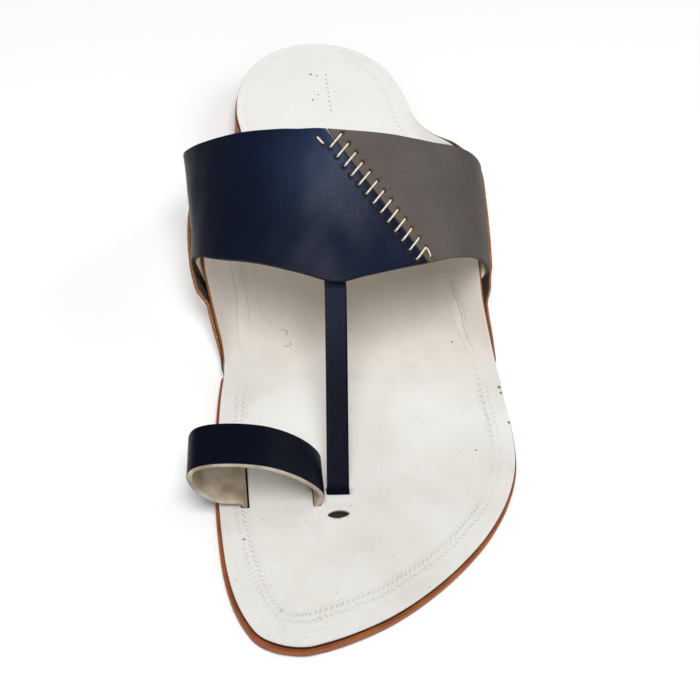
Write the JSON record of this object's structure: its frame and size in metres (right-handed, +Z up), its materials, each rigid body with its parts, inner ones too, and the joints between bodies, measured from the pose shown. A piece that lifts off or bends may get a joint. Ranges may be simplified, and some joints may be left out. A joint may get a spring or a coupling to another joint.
{
  "type": "kolhapuri sandal",
  "caption": "Flat left leather sandal: colour-blocked instep strap held in folded-up side wings, a T-strap, a toe loop and a thin layered sole on a low heel.",
  "frame": {"origin": "middle of the bounding box of the sandal in plan, on the floor it stands on", "axes": "+Z up from the floor, +Y towards the heel, +X towards the outer (lateral) side of the left foot"},
  "size_m": [0.1112, 0.278, 0.0739],
  "materials": {
    "sole_leather": "burnished orange-brown cut edge, semi-matte",
    "ear_leather": "off-white painted grain with raw tan edges",
    "insole_leather": "matte off-white with fine grey speckle",
    "navy_leather": "semi-matte dyed grain, flesh side off-white",
    "grey_leather": "matte grey-taupe grain with dark specks",
    "stitch_cord": "cream twisted cord"
  },
  "bodies": {
    "root": {"outsole": "sole_leather", "heel_lift": "sole_leather", "midsole": "ear_leather", "insole": "insole_leather", "upper_medial": "navy_leather", "upper_lateral": "grey_leather", "toe_loop": "navy_leather"}
  },
  "joints": []
}
